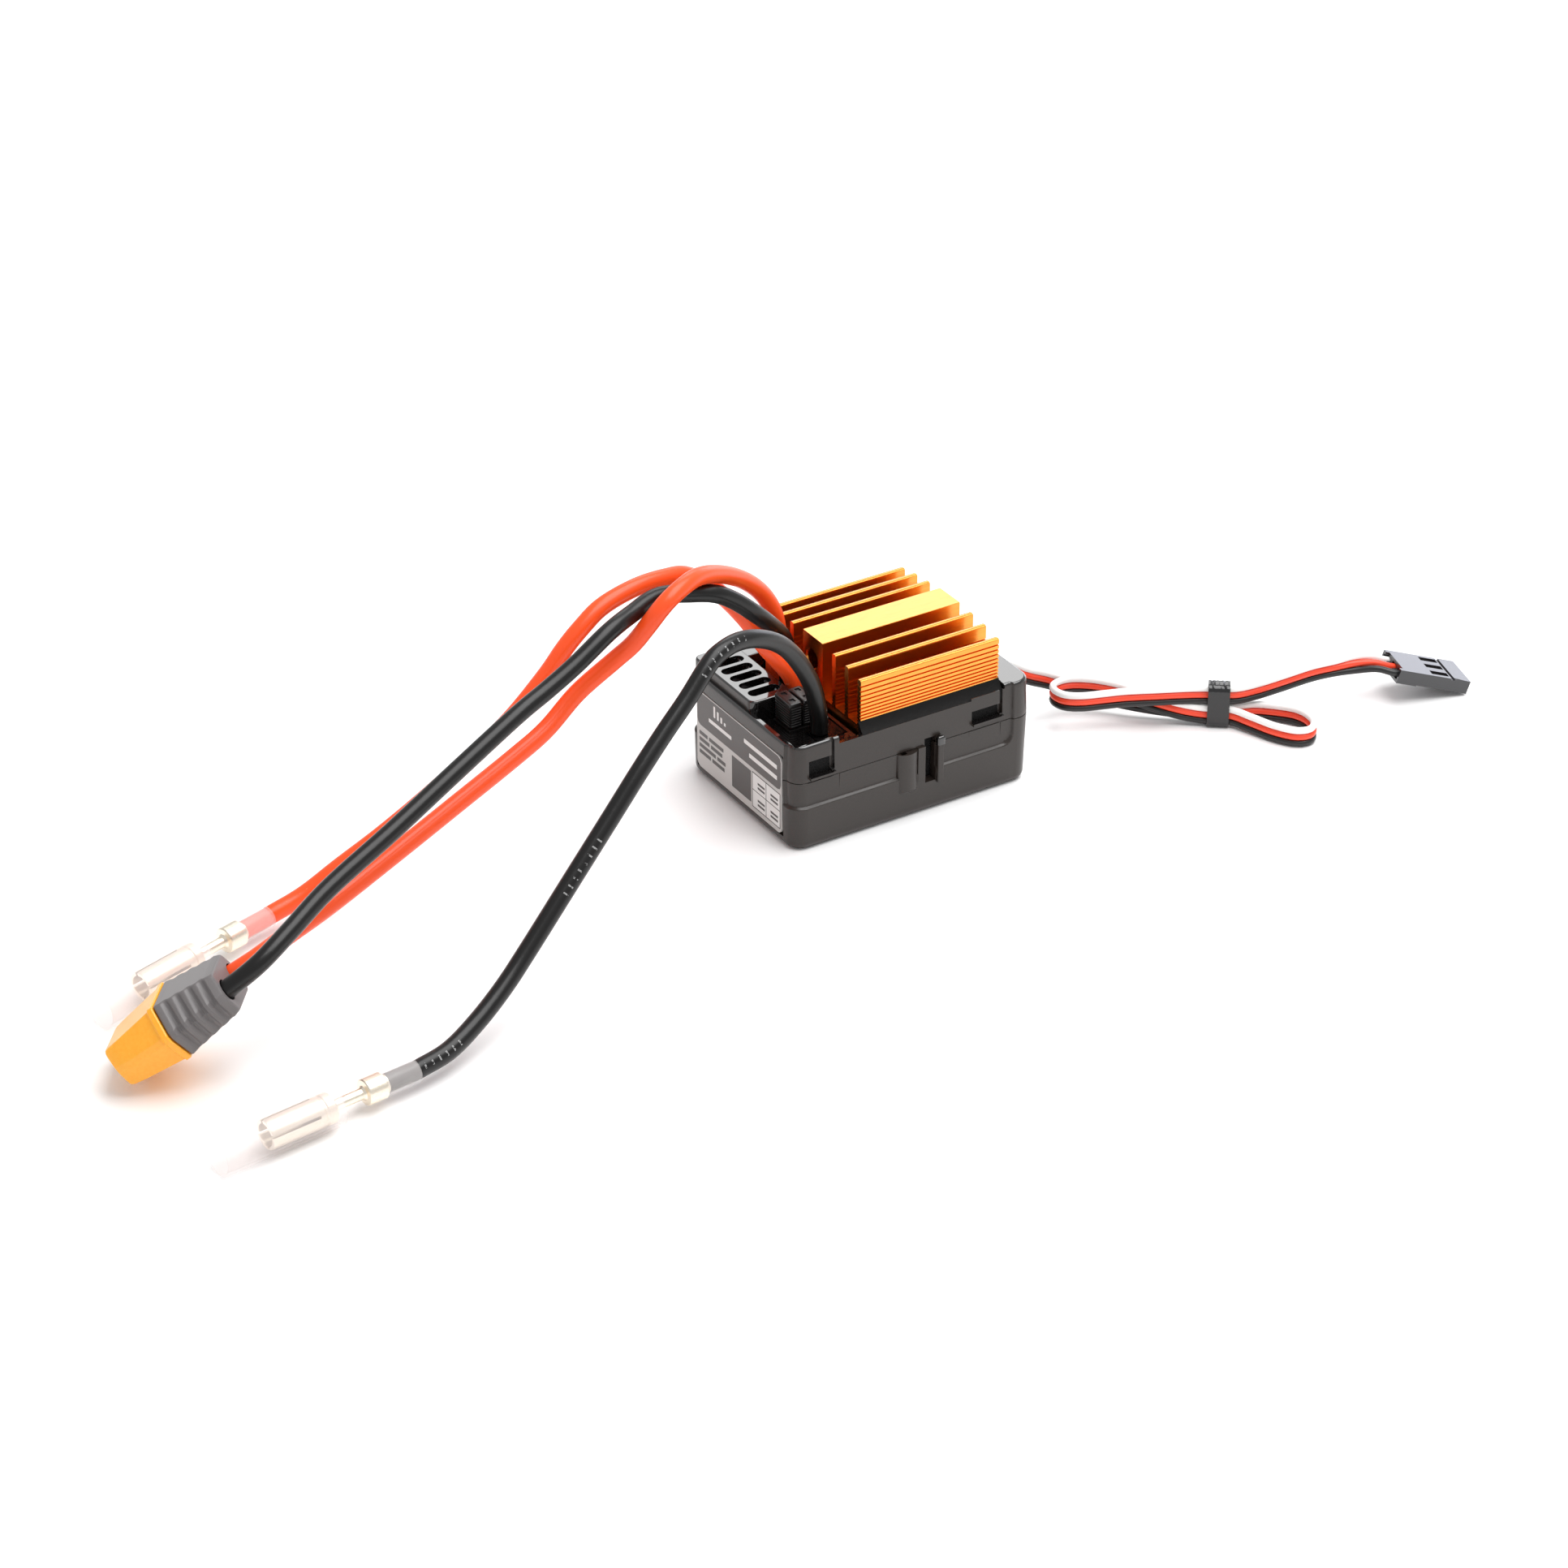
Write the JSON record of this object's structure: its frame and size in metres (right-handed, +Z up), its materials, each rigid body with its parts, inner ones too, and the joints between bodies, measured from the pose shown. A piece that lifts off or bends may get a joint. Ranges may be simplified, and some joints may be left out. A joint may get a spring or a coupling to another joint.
{
  "type": "electronic speed controller",
  "caption": "Brushed motor speed controller: black case with a finned orange heat sink, power wires, battery plug, motor bullets and a folded receiver lead.",
  "frame": {"origin": "on the floor under the middle of the case", "axes": "+X along the case towards the receiver lead, +Y to the back, +Z up"},
  "size_m": [0.2503, 0.0669, 0.0482],
  "materials": {
    "case_plastic": "moulded black plastic, satin to glossy",
    "anodised_aluminium": "orange anodised, sawn edges",
    "label_film": "printed film, two tones",
    "potting_resin": "glossy black resin",
    "board_laminate": "green solder mask",
    "chip_plastic": "moulded epoxy",
    "silicone_red": "smooth silicone",
    "silicone_black": "smooth silicone",
    "silicone_white": "smooth insulation",
    "gold_brass": "gold plated",
    "clear_sleeve": "clear soft tube",
    "grey_rubber": "ribbed, satin",
    "orange_nylon": "moulded nylon",
    "capacitor_can": "drawn can",
    "thermal_pad_grey": "soft silicone pad",
    "led_lens": "small lens",
    "tie_film": "glossy film band"
  },
  "bodies": {
    "case": {"base_shell": "case_plastic", "top_cover": "case_plastic", "heat_sink": "anodised_aluminium", "circuit_board": "board_laminate", "mosfet_1": "chip_plastic", "mosfet_2": "chip_plastic", "mosfet_3": "chip_plastic", "mosfet_4": "chip_plastic", "thermal_pad": "thermal_pad_grey", "capacitor_1": "capacitor_can", "capacitor_2": "capacitor_can", "microcontroller": "chip_plastic", "bec_regulator": "chip_plastic", "bec_inductor": "chip_plastic", "status_led": "led_lens", "potting_compound": "potting_resin", "jumper_header": "case_plastic", "rating_label": "label_film", "lead_grommet": "case_plastic", "battery_plug_boot": "grey_rubber", "battery_plug_housing": "orange_nylon", "battery_contact_1": "gold_brass", "battery_contact_2": "gold_brass", "motor_bullet_1": "gold_brass", "motor_bullet_2": "gold_brass", "motor_wire_black": "silicone_black", "motor_wire_red": "silicone_red", "battery_wire_black": "silicone_black", "battery_wire_red": "silicone_red", "receiver_plug_housing": "case_plastic", "receiver_contact_1": "gold_brass", "receiver_contact_2": "gold_brass", "receiver_contact_3": "gold_brass", "lead_wire_white": "silicone_white", "lead_wire_red": "silicone_red", "lead_wire_black": "silicone_black", "lead_tie": "tie_film"},
    "jumper_cap_1": {"jumper_cap_1": "case_plastic"},
    "jumper_cap_2": {"jumper_cap_2": "case_plastic"},
    "clear_sleeve_1": {"clear_sleeve_1": "clear_sleeve"},
    "clear_sleeve_2": {"clear_sleeve_2": "clear_sleeve"}
  },
  "joints": [
    {"name": "jumper_1_pull", "type": "slide", "parent": "case", "child": "jumper_cap_1", "axis": [0, 0, 1], "range_m": [0, 0.007]},
    {"name": "jumper_2_pull", "type": "slide", "parent": "case", "child": "jumper_cap_2", "axis": [0, 0, 1], "range_m": [0, 0.007]},
    {"name": "sleeve_1_slide", "type": "slide", "parent": "case", "child": "clear_sleeve_1", "axis": [0.993, 0.118, 0], "range_m": [0, 0.012]},
    {"name": "sleeve_2_slide", "type": "slide", "parent": "case", "child": "clear_sleeve_2", "axis": [0.9561, 0.293, 0], "range_m": [0, 0.012]}
  ]
}
